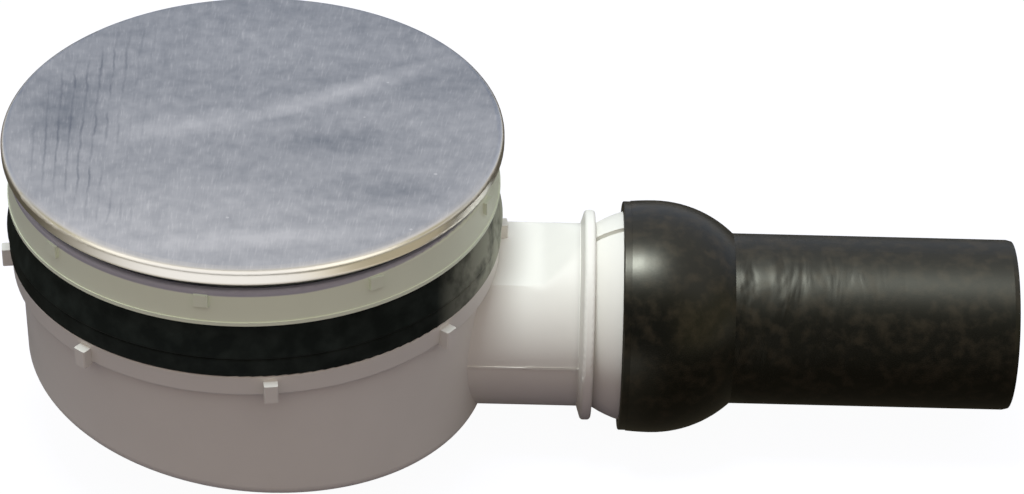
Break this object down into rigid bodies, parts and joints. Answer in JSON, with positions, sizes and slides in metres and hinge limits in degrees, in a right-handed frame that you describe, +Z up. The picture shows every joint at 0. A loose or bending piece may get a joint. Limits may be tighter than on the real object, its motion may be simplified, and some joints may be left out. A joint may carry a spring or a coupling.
{
  "type": "shower trap",
  "caption": "Low shower tray trap: round steel cover on a white flange, black tray seals, shallow white bowl and a black ball-jointed outlet pipe.",
  "frame": {"origin": "on the trap's vertical axis, in the plane of the shower tray, where the upper and the lower seal meet", "axes": "+Z up out of the tray, +X along the outlet pipe, +Y to the back"},
  "size_m": [0.2348, 0.1166, 0.0787],
  "materials": {
    "stainless_steel": "fine brushed",
    "white_polypropylene": "satin moulded",
    "black_rubber": "matt",
    "black_polyethylene": "satin"
  },
  "bodies": {
    "trap": {"trap_body": "white_polypropylene", "lower_seal": "black_rubber", "upper_seal": "black_rubber", "flange_ring": "white_polypropylene", "cover_plate": "stainless_steel", "cover_carrier": "white_polypropylene", "dip_tube": "white_polypropylene", "insert_o_ring": "black_rubber", "siphon_cup": "white_polypropylene"},
    "swivel": {"ball_seal": "black_rubber"},
    "outlet": {"outlet_socket": "black_polyethylene"}
  },
  "joints": [
    {"name": "outlet_turn", "type": "hinge", "parent": "trap", "child": "swivel", "pos_m": [0.0925, 0, -0.027], "axis": [1, 0, 0], "continuous": true},
    {"name": "outlet_tilt", "type": "hinge", "parent": "swivel", "child": "outlet", "pos_m": [0.0925, 0, -0.027], "axis": [0, 1, 0], "range_deg": [-12, 12]}
  ]
}
